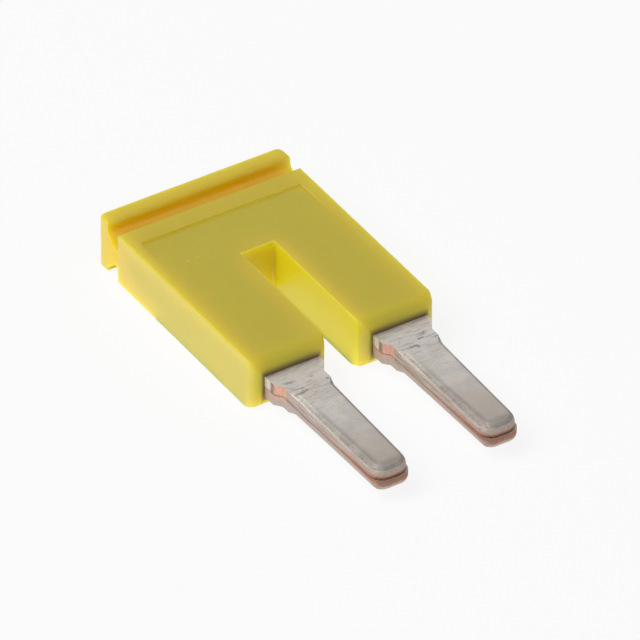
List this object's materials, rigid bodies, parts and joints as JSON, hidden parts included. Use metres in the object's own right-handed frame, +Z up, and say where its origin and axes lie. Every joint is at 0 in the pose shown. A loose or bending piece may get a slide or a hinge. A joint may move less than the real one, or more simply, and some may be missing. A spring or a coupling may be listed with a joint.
{
  "type": "plug-in shorting bar",
  "caption": "Insulated plug-in jumper for rail-mounted terminal blocks: flat pins on a hidden metal comb, in a slotted body with a pull groove.",
  "frame": {"origin": "on the surface the bar lies on, under the middle of its outline box", "axes": "+Z up through the thickness, Y along the pins with their tips towards -Y, X across the poles"},
  "size_m": [0.0106, 0.0236, 0.0031],
  "materials": {
    "body_plastic": "satin moulded yellow polyamide",
    "tinned_copper": "dull tin plate with bare copper on the sheared edges"
  },
  "bodies": {
    "root": {"insulating_body": "body_plastic", "contact_comb": "tinned_copper"}
  },
  "joints": []
}
